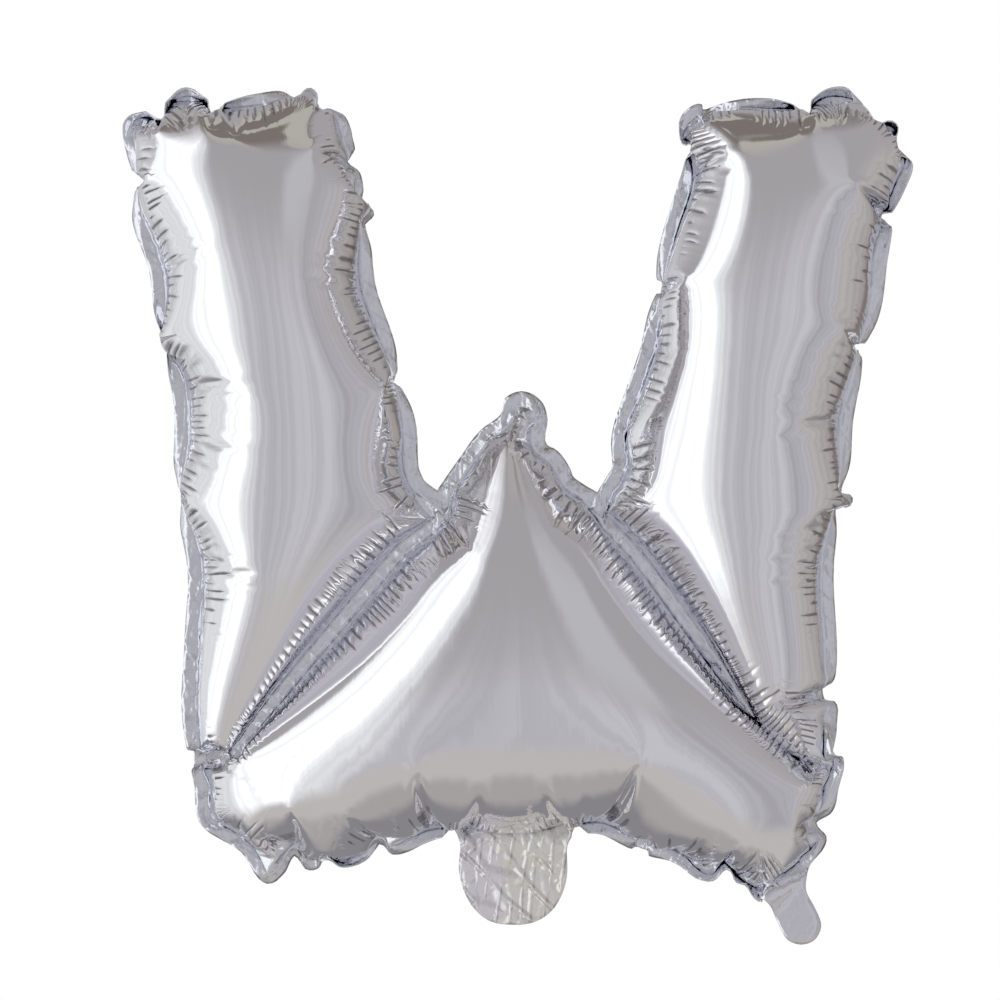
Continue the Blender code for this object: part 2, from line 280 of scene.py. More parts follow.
def flat_film(step):
    seam, rim = stepped(SEAM, SEAM_CORNERS, step), stepped(RIM, RIM_CORNERS, step)
    low, high = rim.min(0) - step, rim.max(0) + step
    rise = step * math.sin(math.pi / 3)
    rows, columns = int((high[1] - low[1]) / rise) + 2, int((high[0] - low[0]) / step) + 2
    lattice = np.array([
        (low[0] + (c + r % 2 / 2) * step, low[1] + r * rise) for r in range(rows) for c in range(columns)
    ])
    lattice = lattice[within(lattice, rim)]
    clear = np.minimum(seam_place(lattice, rim)[0], seam_place(lattice, seam)[0])
    points = np.vstack([seam, rim, lattice[clear > LATTICE_CLEAR * step]])
    edges = [(k, (k + 1) % len(seam)) for k in range(len(seam))]
    edges += [(len(seam) + k, len(seam) + (k + 1) % len(rim)) for k in range(len(rim))]
    flat, _, faces, *_ = delaunay_2d_cdt([Vector(p) for p in points], edges, [], 0, 1e-5)
    flat, faces = np.array([tuple(p) for p in flat]), np.array([f for f in faces if len(f) == 3])
    faces = faces[within(flat[faces].mean(1), rim)]
    a, b, c = (flat[faces[:, k]] for k in range(3))
    area = np.cross(b - a, c - a)
    faces[area < 0] = faces[area < 0][:, ::-1]
    faces = faces[np.abs(area) > 1e-6]
    used = np.unique(faces)
    number = np.full(len(flat), -1)
    number[used] = np.arange(len(used))
    flat, faces = flat[used], number[faces]
    return flat, faces, within(flat[faces].mean(1), SEAM)


def edges_of(faces):
    """Each edge once, the edge of each face's side, and how many faces it has."""
    sides = np.sort(np.vstack([faces[:, [0, 1]], faces[:, [1, 2]], faces[:, [2, 0]]]), axis=1)
    return np.unique(sides, axis=0, return_inverse=True, return_counts=True)


sheet, sheet_faces, over_gas = flat_film(STEP)
print(f"flat sheet: {len(sheet)} points, {len(sheet_faces)} triangles, {int(over_gas.sum())} over the gas")


# %% [markdown]
# ## The film solver
#
# The film is a net of springs that hardly stretch. At each step gas pushes every point outwards,
# and then each spring is put back to its flat length, over and over. This is the same idea as
# Blender's Cloth, but that one lets foil stretch, and stretched foil has no creases.
#
# Springs that share no point can be put right all at once, so they are sorted into such groups.

# %% Sort springs into groups that share no point
TRIES = 6  # how often a group is topped up with springs that are still free


def groups_of(pairs, count):
    left, shuffle, groups = np.arange(len(pairs)), np.random.default_rng(1), []

    def first_come(rows):
        rank = np.full(count, len(rows))
        for side in (0, 1):
            np.minimum.at(rank, pairs[rows, side], np.arange(len(rows)))
        order = np.arange(len(rows))
        return (rank[pairs[rows, 0]] == order) & (rank[pairs[rows, 1]] == order)

    while len(left):
        queue = left[shuffle.permutation(len(left))]
        chosen = first_come(queue)
        group, rest = queue[chosen], queue[~chosen]
        busy = np.zeros(count, bool)
        busy[pairs[group].ravel()] = True
        for _ in range(TRIES):
            free = rest[~busy[pairs[rest]].any(1)]
            if not len(free):
                break
            more = free[first_come(free)]
            busy[pairs[more].ravel()] = True
            group = np.concatenate([group, more])
            rest = rest[~np.isin(rest, more)]
        groups.append(np.sort(group))
        left = left[~np.isin(left, group)]
    return groups


# %% [markdown]
# The class below holds both sheets. The welded band is one sheet. The points inside the seam are
# there twice, once in front and once behind. Springs run along every edge, and others cross it,
# from corner to far corner, and resist a little when the film folds.

# %% The film
PINCH_CLEAR = 14.0  # further than this from a pinch, the weld is kept level
BAND_STRENGTH = 0.6  # how firmly the weld resists folding


class Film:
    def __init__(self, flat, faces, gas):
        count = len(flat)
        welded = np.zeros(count, bool)
        welded[faces[~gas].ravel()] = True
        self.flat, self.faces, self.gas = flat, faces, gas
        self.loose = np.where(~welded)[0]
        self.behind = np.arange(count)
        self.behind[self.loose] = count + np.arange(len(self.loose))
        self.cut = np.vstack([flat, flat[self.loose]])
        self.place = None
        self.front = faces[gas]
        self.back = self.behind[faces[gas]][:, ::-1]
        self.band = faces[~gas]
        spots = np.array([row[:2] for row in PINCHES])
        clear = np.linalg.norm(flat[:, None] - spots[None], axis=2).min(1) > PINCH_CLEAR
        self.level = np.where(welded & clear)[0]
        self.gathers = np.append(~welded, np.ones(len(self.loose), bool))
        sheets = np.vstack([self.front, self.back, self.band])
        self.edges, side, shared = edges_of(sheets)
        far = np.concatenate([sheets[:, 2], sheets[:, 0], sheets[:, 1]])
        order = np.argsort(side.ravel(), kind="stable")
        start = np.searchsorted(side.ravel()[order], np.arange(len(self.edges)))[shared == 2]
        self.across = np.stack([far[order[start]], far[order[start + 1]]], 1)
        self.step = float(np.median(self.lengths(self.edges)))
        self.springs = self.spring_groups(self.edges)
        self.folds = self.spring_groups(self.across)
        in_band = welded[np.minimum(self.across, count - 1)] & (self.across < count)
        self.held = []
        self.hold(self.across[in_band.all(1)], None, BAND_STRENGTH, 0)

    def lengths(self, pairs):
        return np.linalg.norm(self.cut[pairs[:, 0]] - self.cut[pairs[:, 1]], axis=1)

    def spring_groups(self, pairs, lengths=None):
        lengths = self.lengths(pairs) if lengths is None else np.asarray(lengths)
        whole = (pairs[:, 0] != pairs[:, 1]) & (lengths > 1e-6)
        pairs, lengths = pairs[whole], lengths[whole].astype(np.float32)
        return [(pairs[g, 0], pairs[g, 1], lengths[g]) for g in groups_of(pairs, len(self.cut))]

    def hold(self, pairs, lengths, strength, way):
        """More springs. With way 1 a spring only pulls in, and with 0 it works both ways."""
        self.held += [(*g, strength, way) for g in self.spring_groups(np.array(pairs), lengths)]


film = Film(sheet, sheet_faces, over_gas)
print(f"film: {len(film.cut)} points, {len(film.edges)} springs in {len(film.springs)} groups")


# %% [markdown]
# The gas pushes each point square to the film, by the area of film round it. Film that is pressed
# together gathers into ribs a few millimetres apart, too small for the net. So a pressed spring
# gives way: it is put back only by a share of what it lost, a smaller share in the slack sheets
# than in the weld. What is left tells, later, where the ribs are and how deep. Both sheets pull
# on the weld alike, so it is kept near the middle, except at its pinches.

# %% Gas and springs
GATHER = 0.12  # the share that pressed film is put back by
WELD_GATHER = 0.3  # and pressed weld
KEEP_LEVEL = 0.93  # the share of its way out of the middle plane that the weld keeps at each step
TRIANGLE_RISE = 0.866  # the height of an even triangle, in sides


def restore(place, i, j, length, strength, way, pressed=1.0):
    """Move both ends of each spring towards its own length, and pressed ones by that share."""
    gap = place[i] - place[j]
    now = np.sqrt(np.einsum("ij,ij->i", gap, gap)) + 1e-9
    share = (now - length) / now * (0.5 * strength)
    if way > 0:
        share = np.maximum(share, 0)
    elif way < 0:
        share = np.minimum(share, 0)
    gap *= np.where(share < 0, share * pressed, share)[:, None]
    place[i] -= gap
    place[j] += gap


def gas_push(film):
    push = np.zeros_like(film.place)
    for sheet in (film.front, film.back):
        a, b, c = (film.place[sheet[:, k]] for k in range(3))
        normal = np.cross(b - a, c - a) / 6
        for corner in range(3):
            for axis in range(3):
                push[:, axis] += np.bincount(sheet[:, corner], normal[:, axis], len(push))
    return push / (TRIANGLE_RISE * film.step**2)


def fill(film, steps, sweeps, push, damp, bend):
    place, speed = film.place, np.zeros_like(film.place)
    springs = [(i, j, length, np.where(film.gathers[i] | film.gathers[j], GATHER, WELD_GATHER))
               for i, j, length in film.springs]
    for _ in range(steps):
        speed = speed * damp + gas_push(film) * push
        place[film.level, 1] *= KEEP_LEVEL
        before = place.copy()
        place += speed
        for sweep in range(sweeps):
            for i, j, length, strength, way in film.held:
                restore(place, i, j, length, strength, way, WELD_GATHER)
            if bend and sweep == 0:
                for i, j, length in film.folds:
                    restore(place, i, j, length, bend, -1)
            for i, j, length, pressed in springs:
                restore(place, i, j, length, 1.0, 0, pressed)
        speed = place - before


# %% Lay the two sheets out flat, a little apart
HALF_GAP = 3.0
UNEVEN = 0.15

film.place = np.zeros((len(film.cut), 3), np.float32)
film.place[:, [0, 2]] = film.cut
film.place[:, 1] = np.random.default_rng(3).normal(0, UNEVEN, len(film.cut))
film.place[film.loose, 1] -= HALF_GAP
film.place[len(film.flat):, 1] += HALF_GAP
print(f"gas pushes the flat film by up to {np.abs(gas_push(film)).max():.2f}")


# %% [markdown]
# The weld is stiff along straight stretches, and it buckles where it is pinched. Short rods over
# two and three points hold the stretches straight in the first pass. At a pinch there are no
# rods, and a spring draws its two sides together. The fold there is started off to its own side.

# %% Stiffen the weld and gather its pinches
HINGE_REACH = 11.0  # this near to a pinch the weld may bend, and no rod passes over it
NEARLY_STRAIGHT = 0.97  # a rod's length against the way round by its points
ROD_STRENGTH = 0.5
PINCH_FAR = 20.0  # an outline this far from a pinch isn't gathered by it
FOLD_START = 3.0


def straight_rods(points, ring):
    """Rods over two and three points of the weld, with their lengths, where it runs straight."""
    count, run = len(ring), np.linalg.norm(np.roll(points, -1, 0) - points, axis=1)
    spots = np.array([row[:2] for row in PINCHES])
    hinge = np.array([np.linalg.norm(spots - p, axis=1).min() < HINGE_REACH for p in points])
    rods, lengths = [], []
    for reach in (2, 3):
        for k in range(count):
            end = (k + reach) % count
            middle = [(k + m) % count for m in range(1, reach)]
            straight = np.linalg.norm(points[k] - points[end])
            around = sum(run[(k + m) % count] for m in range(reach))
            bent = straight < NEARLY_STRAIGHT * around
            if not (bent or hinge[middle].any() or (hinge[k] and hinge[end])):
                rods.append((ring[k], ring[end]))
                lengths.append(straight)
    return rods, lengths


def gather(film, step):
    """Hold the weld's straight stretches, and give the springs that draw its pinches in."""
    drawn, widths = [], []
    for outline, corners in ((RIM, RIM_CORNERS), (SEAM, SEAM_CORNERS)):
        points = stepped(outline, corners, step)
        ring = [int(np.argmin(np.linalg.norm(film.flat - p, axis=1))) for p in points]
        film.hold(*straight_rods(points, ring), ROD_STRENGTH, 0)
        for x, z, half, keep, side in PINCHES:
            away = np.linalg.norm(points - (x, z), axis=1)
            centre, reach = int(np.argmin(away)), max(1, int(round(half / step)))
            if away[centre] > PINCH_FAR:
                continue
            a, b = (centre - reach) % len(ring), (centre + reach) % len(ring)
            drawn.append((ring[a], ring[b]))
            widths.append(np.linalg.norm(points[a] - points[b]) * keep)
            film.place[ring[centre], 1] += side * FOLD_START
    film.hold(drawn, widths, 1.0, 1)
    return drawn, widths


drawn, widths = gather(film, STEP)
print(len(drawn), "pinch springs")


# %% [markdown]
# ## Blow it up
#
# Three passes, each with triangles half the size of the last: each triangle is cut in four, and
# the new points on the seam and the rim are moved onto their smooth lines. The first pass finds
# the big shape in a few seconds, and the others only have to find the folds that were too small
# for it. A little noise lets them start.

# %% The same film in finer triangles
def finer(film, noise, seed):
    edges, side, shared = edges_of(film.faces)
    side = side.reshape(3, -1)
    (a, b, c), (ab, bc, ca) = film.faces.T, len(film.flat) + side
    quarters = (a, ab, ca), (ab, b, bc), (ca, bc, c), (ab, bc, ca)
    faces = np.vstack([np.stack(corners, 1) for corners in quarters])
    middle = film.flat[edges].mean(1)
    moved, gas_sides = middle.copy(), np.bincount(side[:, film.gas].ravel(), minlength=len(edges))
    for chosen, outline in ((shared == 1, RIM), ((shared == 2) & (gas_sides == 1), SEAM)):
        moved[chosen] = seam_place(middle[chosen], outline)[2]
    east, up = (moved - middle).T
    shift = np.column_stack([east, np.zeros(len(edges)), up])
    sheets = film.place[:len(film.flat)], film.place[film.behind]
    front, back = (np.vstack([s, s[edges].mean(1) + shift]) for s in sheets)
    made = Film(np.vstack([film.flat, moved]), faces, np.tile(film.gas, 4))
    made.place = np.vstack([front, back[made.loose]]).astype(np.float32)
    made.place += np.random.default_rng(seed).normal(0, noise, made.place.shape).astype(np.float32)
    return made


# %% Fill the balloon with gas
FIRST_FILLS = [
    dict(steps=150, sweeps=3, push=0.05, damp=0.95, bend=0.0),
    dict(steps=200, sweeps=4, push=0.03, damp=0.9, bend=0.02),
]
FINER_FILLS = [
    (5, 0.03, dict(steps=150, sweeps=4, push=0.015, damp=0.9, bend=0.05)),
    (6, 0.02, dict(steps=90, sweeps=8, push=0.004, damp=0.9, bend=0.03)),
]

for settings in FIRST_FILLS:
    fill(film, **settings)
for seed, noise, settings in FINER_FILLS:
    film = finer(film, noise, seed)
    film.hold(drawn, widths, 1.0, 1)
    fill(film, **settings)
    print(f"{len(film.front)} triangles a panel, {np.ptp(film.place[:, 1]):.0f} mm deep")

# %% [markdown]
# The fill drifts a little to one side and tilts a little. The real balloon's pinches are where
# they are in the picture, so the film is turned and moved flat in its own plane, by the least
# that brings the same pinches there.

# %% Stand it where the picture has it
SEEN = {  # a pinch's row in the cut, and where the picture has it
    "left foot": (1, -28.8, -146.7), "left waist": (17, -147.6, 1.3), "left shoulder": (20, -153.9, 70.6),
    "left inside": (39, -59.8, 51.3), "left top": (28, -133.6, 176.0), "right inside": (58, 67.0, 94.5),
    "right top": (67, 129.2, 174.6), "right shoulder": (76, 154.3, 67.5), "right waist": (79, 141.8, 0.9),
    "right foot": (107, 27.5, -145.3),
}


def stand(film):
    """Where the film's points stand, in metres."""
    spots = np.array([CUT[row][:2] for row, *_ in SEEN.values()])
    ring = [int(np.argmin(np.linalg.norm(film.flat - p, axis=1))) for p in spots]
    found = film.place[ring][:, [0, 2]].astype(float)
    wanted = np.array([spot for _, *spot in SEEN.values()])
    middle, target = found.mean(0), wanted.mean(0)
    left, _, right = np.linalg.svd((found - middle).T @ (wanted - target))
    place = film.place.astype(float)
    place[:, [0, 2]] = (place[:, [0, 2]] - middle) @ (left @ right) + target
    place[:, 1] -= (place[:, 1].min() + place[:, 1].max()) / 2
    return place / 1000


place = stand(film)
print("stands", [[round(v, 4) for v in corner] for corner in (place.min(0), place.max(0))])

# %% [markdown]
# ## From film to pieces
#
# Each piece is a mesh of the film's own triangles, with five things stored on every point: where
# it lay in the flat sheet, how far it is from the seam, how far round the seam, the share of its
# width that the film has lost there, and the number of the rib that it is on. Materials use
# these, because grain and puckers belong to the film and have to stay with it through every fold.

# %% Numbers on a mesh's points
def read(items, key, width=3):
    """One row of numbers for each item of a mesh, or one number with width 1."""
    values = np.zeros(len(items) * width)
    items.foreach_get(key, values)
    return values.reshape(-1, width) if width > 1 else values


def surface(mesh):
    """Each point's place and normal, and where it lay in the flat sheet, in millimetres."""
    cut = read(mesh.attributes["cut"].data, "vector")[:, :2] * 1000
    return read(mesh.vertices, "co"), read(mesh.vertices, "normal"), cut


def keep(mesh, name, values):
    """Store a number, or three, on every point."""
    kind, key = ("FLOAT_VECTOR", "vector") if values.ndim == 2 else ("FLOAT", "value")
    layer = mesh.attributes.get(name) or mesh.attributes.new(name, kind, "POINT")
    layer.data.foreach_set(key, values.astype(np.float32).ravel())


MOST_LOST = 0.5


def gathered(faces, corners, flat):
    """The share of its width that the film has lost at each point, where it lost the most."""
    a, b, c = faces.T
    cut_sides = np.stack([flat[b] - flat[a], flat[c] - flat[a]], 2)
    sides = np.stack([corners[b] - corners[a], corners[c] - corners[a]], 2) * 1000
    stretch = sides @ np.linalg.inv(cut_sides)
    least = np.sqrt(np.maximum(np.linalg.eigvalsh(np.swapaxes(stretch, 1, 2) @ stretch)[:, 0], 0))
    lost, count = np.clip(1 - least, 0, MOST_LOST), len(flat)
    hits = np.maximum(np.bincount(faces.ravel(), minlength=count), 1)
    for _ in range(3):
        spread = np.bincount(faces.ravel(), np.repeat(lost, 3), count) / hits
        lost = spread[faces].mean(1)
    return spread


lost = gathered(film.front, place, film.cut)
print(f"of its width the front film has lost {lost[film.loose].mean():.3f}, and {lost.max():.2f} at most")

# %% [markdown]
# Close to the seam the film is gathered into fine ribs, too small for the solver. There the
# triangles are cut in four, and the ribs are pushed into the surface. A rib is a round crown
# with a sharp valley on each side. Its pitch and its reach wander, as they do in real film.

# %% Ribs
RIB_PITCH = 3.7
RIB_REACH = 34.0
RIB_RISE = 4.0  # the way from the seam in which a rib grows to its full depth
RIB_POWER = 0.7  # under 1, valleys are sharp and crowns are round
RIB_DEPTH = 0.95
FINE_REACH = 14.0  # triangles nearer to the seam than this are cut in four
FINE_MARGIN = 3.0


def wander(along, seed, pitch):
    """A smooth line of chance from 0 to 1."""
    draw = np.random.default_rng(seed)
    total, waves = np.zeros(len(along)), 5
    for k in range(waves):
        total += np.sin(2 * math.pi * along / (pitch * (0.6 + 0.35 * k)) + draw.uniform(0, 2 * math.pi))
    return np.clip(0.5 + total / waves, 0, 1)


def rib_phase(along):
    return along / RIB_PITCH + 1.6 * wander(along, 21, 47.0)


def ribs(phase, along, away, lost):
    """How far in each point of a gathered wall is pushed, in metres."""
    valley = 1 - np.abs(np.sin(math.pi * phase)) ** RIB_POWER
    depth = RIB_PITCH / 1000 / math.pi * np.sqrt(np.clip(lost - 0.01, 0, 0.12)) * RIB_DEPTH
    rise = np.clip(away / RIB_RISE, 0, 1) ** 2
    reach = RIB_REACH * (0.55 + 0.45 * wander(along, 23, 23.0))
    return valley * depth * rise * np.clip(1.3 - away / reach, 0, 1) ** 0.8


def refine(mesh):
    """Cut the triangles near the seam in four, and ease the points there."""
    shape = bmesh.new()
    shape.from_mesh(mesh)
    away = shape.verts.layers.float["seam_away"]
    near = [e for e in shape.edges if all(v[away] * 1000 < FINE_REACH for v in e.verts)]
    bmesh.ops.subdivide_edges(shape, edges=near, cuts=1)
    bmesh.ops.triangulate(shape, faces=[f for f in shape.faces if len(f.verts) > 3])
    reach = FINE_REACH + FINE_MARGIN
    eased = [v for v in shape.verts if 0 < v[away] * 1000 < reach and not v.is_boundary]
    every_way = dict(use_axis_x=True, use_axis_y=True, use_axis_z=True)
    bmesh.ops.smooth_vert(shape, verts=eased, factor=0.5, **every_way)
    shape.to_mesh(mesh)
    shape.free()


def keep_seam_place(mesh, flat):
    """Store how far each point is from the seam and round it, and the number of its rib."""
    away, along, _ = seam_place(flat, SEAM)
    keep(mesh, "seam_away", away / 1000)
    keep(mesh, "seam_along", along / 1000)
    keep(mesh, "rib", rib_phase(along))
    return away, along


def press_ribs(mesh):
    spot, normal, cut = surface(mesh)
    away, along = keep_seam_place(mesh, cut)
    lost = read(mesh.attributes["gathered"].data, "value", 1)
    depth = ribs(rib_phase(along), along, away, lost)
    mesh.vertices.foreach_set("co", (spot - normal * depth[:, None]).ravel())


# %% Make a piece from part of the film
def film_piece(name, faces, ribbed=False):
    """A mesh object from faces of the film."""
    used, number = np.unique(faces, return_inverse=True)
    flat, mesh = film.cut[used], bpy.data.meshes.new(name)
    mesh.from_pydata(place[used].tolist(), [], number.reshape(-1, 3).tolist())
    keep(mesh, "cut", np.column_stack([flat / 1000, np.zeros(len(used))]))
    keep(mesh, "gathered", gathered(faces, place, film.cut)[used])
    keep_seam_place(mesh, flat)
    if ribbed:
        refine(mesh)
        press_ribs(mesh)
    mesh.update()
    mesh.shade_smooth()
    obj = bpy.data.objects.new(name, mesh)
    bpy.context.scene.collection.objects.link(obj)
    print(f"{name}: {len(mesh.polygons)} faces")
    return obj


# %% The two panels
front_film = film_piece("front_film", film.front, ribbed=True)
back_film = film_piece("back_film", film.back, ribbed=True)

# %% [markdown]
# ## The weld
#
# Outside the seam the two sheets are one. That band is split into the pieces that the model
# knows: the edge, the strip in each slit, the filling neck and the hanging tab.

# %% Sort the welded faces
SLIT_MARGIN = 0.3
NECK_TOP = -150  # the neck's faces lie below this height
TAB_SIDE = 100  # and the tab's to the right of this

centre = film.flat[film.band].mean(1)
beyond = ~within(centre, WELD_EDGE)
in_slit = within(centre, beside(GAS_EDGE, -SLIT_MARGIN, closed=True))
neck_left, neck_right = (CUT[SEEN[foot][0]][0] for foot in ("left foot", "right foot"))
of_neck = (centre[:, 0] > neck_left) & (centre[:, 0] < neck_right) & (centre[:, 1] < NECK_TOP) & ~in_slit
of_tab = beyond & (centre[:, 0] > TAB_SIDE)
of_edge = ~(in_slit | of_tab | (beyond & of_neck))
print("faces of edge, slits, neck, tab:", *(int(m.sum()) for m in (of_edge, in_slit, of_neck, of_tab)))

# %% Give the welded pieces their thickness
WELD_THICK = 0.00030


def thicken(obj, thickness):
    wall = obj.modifiers.new("wall", "SOLIDIFY")
    wall.thickness = thickness
    wall.offset = 0


edge_weld = film_piece("edge_weld", film.band[of_edge])
slit_weld_left = film_piece("slit_weld_left", film.band[in_slit & (centre[:, 0] < 0)])
slit_weld_right = film_piece("slit_weld_right", film.band[in_slit & (centre[:, 0] > 0)])
hanging_tab = film_piece("hanging_tab_film", film.band[of_tab])
for piece in (edge_weld, slit_weld_left, slit_weld_right, hanging_tab):
    thicken(piece, WELD_THICK)

# %% [markdown]
# ## The filling neck
#
# Below the seam the two sheets run on as a flat tube, with a thin valve film between them.
# They lie face to face but aren't welded there, so each has small wrinkles of its own. The
# neck's faces are copied three times, and each copy is moved out along its normals by a low
# pattern of folds.

# %% Neck and valve
NECK_GAP = 0.0005
NECK_THICK = 0.00012
NECK_FOLDS = 9
LEAST_LIFT = 0.0002
VALVE_INSET = 3.0  # the valve's film is narrower than the neck, by this much a side


def slack_folds(x, z, seed):
    """A pattern of soft folds, about 0, from folds that each have a pitch and a slant of their own."""
    draw, total = np.random.default_rng(seed), np.zeros(len(x))
    for _ in range(NECK_FOLDS):
        turn, pitch = draw.normal(0, 0.5), draw.uniform(7, 26)
        line = (x * math.cos(turn) + z * math.sin(turn)) / pitch + draw.uniform(0, 1)
        bend = 0.15 * np.sin(z / 13 + draw.uniform(0, 6))
        total += np.abs(np.sin(math.pi * (line + bend))) ** 0.6 * pitch / 16
    return (total - total.mean()) / NECK_FOLDS


def neck_layer(name, side, seed, wrinkle):
    """One film of the neck: side -1 is the front, 1 the back, and 0 the valve's."""
    faces = film.band[of_neck]
    if side == 0:
        clear = seam_place(film.flat, RIM)[0] > VALVE_INSET
        faces = film.band[of_neck & beyond]
        faces = faces[clear[faces].all(1)]
    obj = film_piece(name, faces)
    mesh = obj.data
    spot, normal, cut = surface(mesh)
    facing = np.sign(normal[:, 1].mean()) or 1
    lift = (NECK_GAP if side else 0) + wrinkle * slack_folds(*cut.T, seed)
    if side:
        lift = np.maximum(lift, LEAST_LIFT)
    outwards = normal * facing * (side or -1)
    mesh.vertices.foreach_set("co", (spot + outwards * lift[:, None]).ravel())
    mesh.update()
    thicken(obj, NECK_THICK)
    return obj


neck_front = neck_layer("neck_front", -1, 41, 0.0022)
neck_back = neck_layer("neck_back", 1, 42, 0.0018)
valve = neck_layer("valve_sleeve", 0, 43, 0.0004)

# %% [markdown]
# ## The studio
#
# A mirror has no colour of its own, so most of the work on a chrome finish is the room round it.
# Here a big soft light hangs to the left and a dimmer one to the right, the room is grey behind
# the camera, and darker, browner things are to the right and overhead. The world shader paints
# that room by compass bearing, and then by height. The camera itself sees plain white paper.
# First come a few helpers that keep shader code short.

# %% Helpers that add shader nodes
def add_node(tree, kind, sockets=None, **settings):
    node = tree.nodes.new(kind)
    for key, value in settings.items():
        setattr(node, key, value)
    for key, value in (sockets or {}).items():
        if isinstance(value, bpy.types.NodeSocket):
            tree.links.new(value, node.inputs[key])
        else:
            node.inputs[key].default_value = value
    return node


def sums(tree, operation, *values, clamp=False):
    node = add_node(tree, "ShaderNodeMath", dict(enumerate(values)), operation=operation)
    node.use_clamp = clamp
    return node.outputs[0]


def times(tree, first, *others):
    for other in others:
        first = sums(tree, "MULTIPLY", first, other)
    return first


def ramp(tree, value, stops):
    """A colour ramp from rows of (place, colour)."""
    node = add_node(tree, "ShaderNodeValToRGB", {0: value})
    node.color_ramp.interpolation = "EASE"
    points = node.color_ramp.elements
    while len(points) < len(stops):
        points.new(0.5)
    for point, (where, colour) in zip(points, stops):
        point.position = where
    for point, (where, colour) in zip(points, stops):
        point.color = (*colour, 1)
    return node.outputs[0]


def blend(tree, share, first, second):
    node = add_node(tree, "ShaderNodeMix", data_type="RGBA")
    for key, value in ((0, share), (6, first), (7, second)):
        if isinstance(value, bpy.types.NodeSocket):
            tree.links.new(value, node.inputs[key])
        else:
            node.inputs[key].default_value = (*value, 1) if isinstance(value, tuple) else value
    return node.outputs[2]


def between(tree, value, low, high, start=0.0, end=1.0):
    """A smooth step from start to end, as the value goes from low to high."""
    sockets = {0: value, 1: low, 2: high, 3: start, 4: end}
    return add_node(tree, "ShaderNodeMapRange", sockets, interpolation_type="SMOOTHSTEP").outputs[0]


def noise(tree, where, scale, **sockets):
    sockets = {"Vector": where, "Scale": scale, **sockets}
    return add_node(tree, "ShaderNodeTexNoise", sockets).outputs[0]


world = bpy.data.worlds.new("studio")
bpy.context.scene.world = world
world.use_nodes = True
room = world.node_tree
room.nodes.clear()
print("world:", world.name)


# %% The room, by bearing and height
BEARINGS = [
    (-180, 0.50, "neutral"), (-158, 0.60, "neutral"), (-138, 0.62, "cool"), (-112, 0.80, "cool"),
    (-84, 0.87, "cool"), (-78, 1.20, "cool"), (-47, 1.20, "cool"), (-39, 0.82, "cool"),
    (-25, 0.59, "neutral"), (-8, 0.50, "neutral"), (6, 0.56, "neutral"), (24, 0.57, "neutral"),
    (42, 0.58, "neutral"), (56, 0.44, "neutral"), (72, 0.50, "neutral"), (92, 0.46, "warm"),
    (116, 0.40, "warm"), (130, 0.34, "brown"), (142, 0.18, "brown"), (155, 0.20, "brown"),
    (163, 0.75, "cool"), (172, 0.60, "neutral"), (180, 0.50, "neutral"),
]
TINTS = {
    "neutral": (0.985, 0.965, 1.03), "cool": (0.985, 1.0, 1.02), "warm": (1.05, 1.0, 0.96),
    "brown": (1.12, 1.0, 0.95),
}
STREAK = (0.24, 0.23, 0.25)
HIGH_WALL, HIGH_LIT = (0.385, 0.37, 0.38), (0.50, 0.495, 0.515)
CEILING_BROWN, CEILING_PALE = (0.20, 0.175, 0.16), (0.46, 0.445, 0.40)
LOW_WALL, GROUND, GROUND_BEHIND = (0.52, 0.50, 0.48), (0.40, 0.38, 0.37), (0.25, 0.245, 0.26)
LAMP_EDGE = 5  # degrees, to each side of where a light ends
LAMP_FADE = 0.25  # how much higher up it has faded out

looking = add_node(room, "ShaderNodeTexCoord").outputs["Generated"]
east, north, up = add_node(room, "ShaderNodeSeparateXYZ", {0: looking}).outputs
bearing = sums(room, "ARCTAN2", east, times(room, north, -1.0))
turned = sums(room, "MULTIPLY_ADD", bearing, 1 / (2 * math.pi), 0.5)
stops = [
    ((degrees + 180) / 360, tuple(level * t for t in TINTS[tint])) for degrees, level, tint in BEARINGS
]
walls = ramp(room, turned, stops)
uneven = {"W": times(room, bearing, 8.0), "Scale": 1.0, "Detail": 2.0}
streaks = add_node(room, "ShaderNodeTexNoise", uneven, noise_dimensions="1D").outputs[0]
walls = blend(room, between(room, streaks, 0.40, 0.62, 0.0, 0.20), walls, STREAK)


def lamp(middle, half, top):
    """A tall light's share at each bearing, in degrees, up to a height."""
    off = sums(room, "ABSOLUTE", sums(room, "SUBTRACT", bearing, math.radians(middle)))
    start, end = math.radians(half - LAMP_EDGE), math.radians(half + LAMP_EDGE)
    across = between(room, off, start, end, 1.0, 0.0)
    return times(room, across, between(room, up, top, top + LAMP_FADE, 1.0, 0.0))


soft_left, soft_right = lamp(-58, 24, 0.62), lamp(40, 15, 0.60)
shade = times(room, between(room, up, 0.12, 0.62), sums(room, "SUBTRACT", 1.0, soft_left))
high = blend(room, shade, walls, HIGH_WALL)
lit_share = times(room, soft_right, between(room, up, 0.25, 0.5))
high = blend(room, lit_share, high, HIGH_LIT)
patches = noise(room, looking, 2.6, Detail=1.0)
overhead = blend(room, between(room, patches, 0.48, 0.54), CEILING_BROWN, CEILING_PALE)
ceiling = blend(room, between(room, up, 0.76, 0.92), high, overhead)
low = blend(room, between(room, up, -0.45, -0.75), ceiling, LOW_WALL)
ground = blend(room, between(room, up, -0.86, -0.97), low, GROUND)
behind = times(room, between(room, north, 0.0, 0.35), between(room, up, -0.25, -0.60))
painted = blend(room, behind, ground, GROUND_BEHIND)
seen = add_node(room, "ShaderNodeBackground", {0: (1, 1, 1, 1), 1: 1.0}).outputs[0]
lit = add_node(room, "ShaderNodeBackground", {0: painted, 1: 1.0}).outputs[0]
by_camera = add_node(room, "ShaderNodeLightPath").outputs["Is Camera Ray"]
